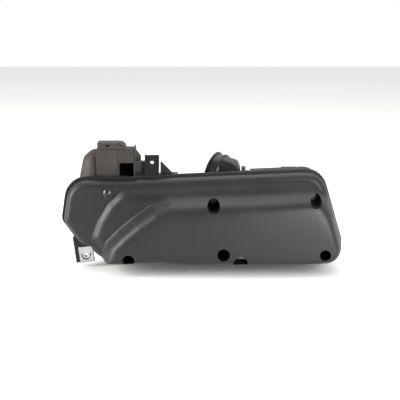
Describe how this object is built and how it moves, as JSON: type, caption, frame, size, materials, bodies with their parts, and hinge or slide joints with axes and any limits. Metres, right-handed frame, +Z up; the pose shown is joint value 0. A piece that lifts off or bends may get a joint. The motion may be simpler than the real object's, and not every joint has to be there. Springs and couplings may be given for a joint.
{
  "type": "air filter housing",
  "caption": "Two-piece moulded air filter housing for a small scooter engine, with a removable relief cover, flat foam element, intake snorkel and rubber carburettor boot.",
  "frame": {"origin": "middle of the engine bolt's steel sleeve, on the bolt's axis", "axes": "+X along the housing towards its rounded right-hand end, +Y from the cover towards the engine along the bolt, +Z up"},
  "size_m": [0.3661, 0.1426, 0.1646],
  "materials": {
    "housing_pp": "moulded black-grey polypropylene with a fine texture",
    "cover_pp": "moulded black-grey polypropylene, satin with a fine grain",
    "snorkel_pp": "matt brown-grey talc-filled polypropylene",
    "seal_rubber": "black cellular rubber",
    "boot_rubber": "black moulded rubber, satin",
    "screw_black": "black zinc-plated steel",
    "zinc_steel": "zinc-plated steel",
    "spring_steel_black": "phosphated spring steel",
    "filter_foam": "oiled open-cell foam",
    "frame_plastic": "black moulded plastic"
  },
  "bodies": {
    "housing": {"rear_housing": "housing_pp", "perimeter_seal": "seal_rubber", "outlet_trumpet": "frame_plastic", "snorkel_body": "snorkel_pp", "snorkel_front": "snorkel_pp", "snorkel_cap": "snorkel_pp", "snorkel_screws": "screw_black", "snorkel_seal": "seal_rubber", "carb_boot": "boot_rubber", "boot_ring": "spring_steel_black", "boot_ring_screw": "zinc_steel", "mount_grommet": "boot_rubber", "mount_sleeve": "zinc_steel", "lower_clip_nut": "zinc_steel", "upper_clip_nut": "spring_steel_black"},
    "cover": {"front_cover": "cover_pp", "cover_screws": "screw_black", "front_screw": "screw_black"},
    "element": {"filter_foam": "filter_foam", "element_frame": "frame_plastic", "element_grid": "frame_plastic", "element_seal": "seal_rubber", "element_screws": "zinc_steel"},
    "drain": {"drain_cap": "boot_rubber", "drain_clip": "zinc_steel"}
  },
  "joints": [
    {"name": "cover_pull", "type": "slide", "parent": "housing", "child": "cover", "axis": [0, -1, 0], "range_m": [0, 0.15]},
    {"name": "element_pull", "type": "slide", "parent": "housing", "child": "element", "axis": [0, -1, 0], "range_m": [0, 0.06]},
    {"name": "drain_pull", "type": "slide", "parent": "housing", "child": "drain", "axis": [0, 0, -1], "range_m": [0, 0.02]}
  ],
  "couplings": [
    {"joint": "element_pull", "follows": "cover_pull", "ratio": 0.4}
  ]
}
